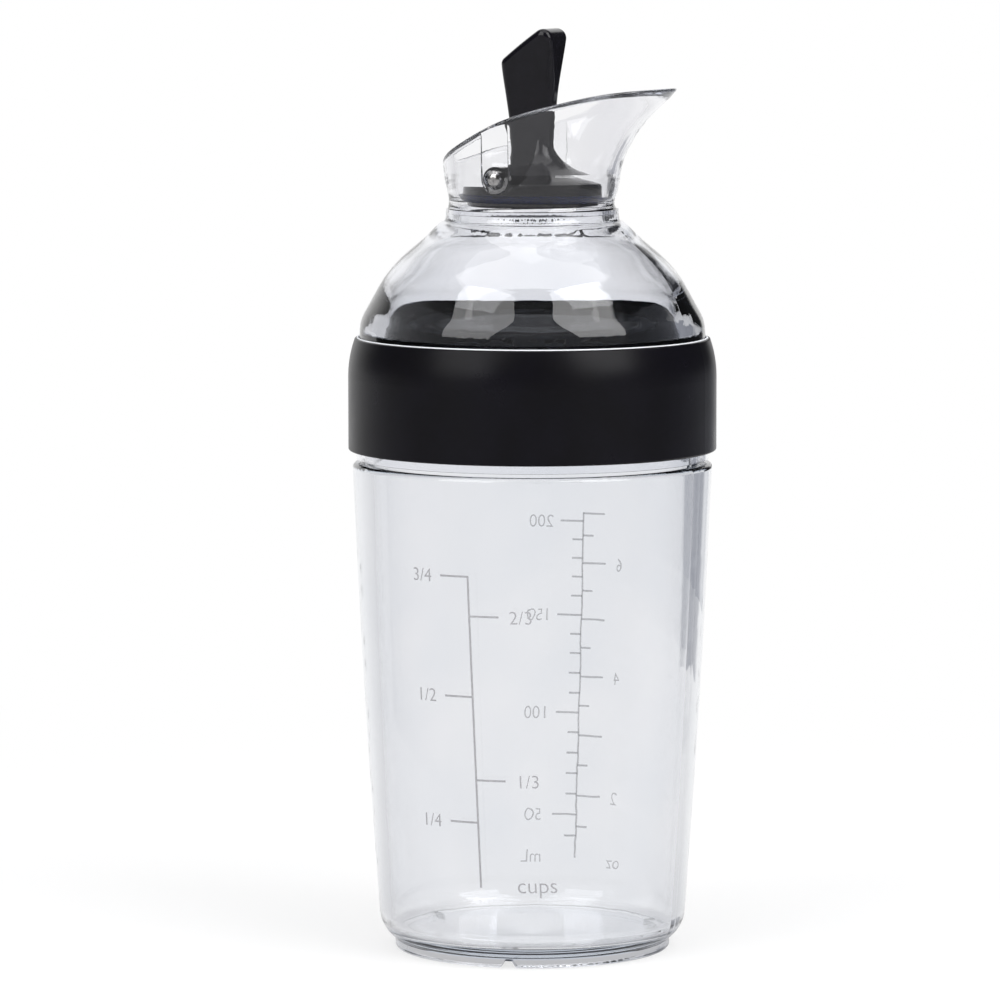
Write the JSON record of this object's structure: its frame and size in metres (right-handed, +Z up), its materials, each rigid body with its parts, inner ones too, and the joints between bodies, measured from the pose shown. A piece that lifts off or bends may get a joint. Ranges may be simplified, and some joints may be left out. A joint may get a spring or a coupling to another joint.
{
  "type": "salad dressing shaker bottle",
  "caption": "Clear shaker bottle for salad dressing: measuring tumbler, screw-on domed lid with a soft sleeve, and a flared spout opened by a thumb lever.",
  "frame": {"origin": "centre of the foot ring, on the plane that the bottle stands on", "axes": "+Z up along the bottle's axis, +X towards the spout's tip, +Y along the lever's hinge pin"},
  "size_m": [0.0704, 0.0704, 0.1762],
  "materials": {
    "clear_tumbler": "clear polished copolyester",
    "clear_dome": "clear polished copolyester",
    "clear_spout": "clear polished copolyester",
    "soft_black": "soft matte elastomer",
    "lid_seal_silicone": "smooth silicone",
    "gloss_black": "polished moulded black",
    "navy_silicone": "smooth silicone",
    "pin_steel": "bright stainless pin"
  },
  "bodies": {
    "tumbler": {"tumbler": "clear_tumbler"},
    "seal": {"lid_gasket": "lid_seal_silicone"},
    "lid": {"lid_dome": "clear_dome", "spout": "clear_spout", "grip_band": "soft_black", "hinge_pin": "pin_steel"},
    "lever": {"lever": "gloss_black", "stopper_gasket": "navy_silicone"}
  },
  "joints": [
    {"name": "lid_rise", "type": "slide", "parent": "tumbler", "child": "seal", "axis": [0, 0, 1], "range_m": [0, 0.018]},
    {"name": "lid_turn", "type": "hinge", "parent": "seal", "child": "lid", "pos_m": [0, 0, 0.1105], "axis": [0, 0, 1], "range_deg": [0, 540]},
    {"name": "lever_tilt", "type": "hinge", "parent": "lid", "child": "lever", "pos_m": [-0.0013, 0, 0.1482], "axis": [0, -1, 0], "range_deg": [0, 60]}
  ],
  "couplings": [
    {"joint": "lid_rise", "follows": "lid_turn", "m_per_rad": 0.0019099}
  ]
}
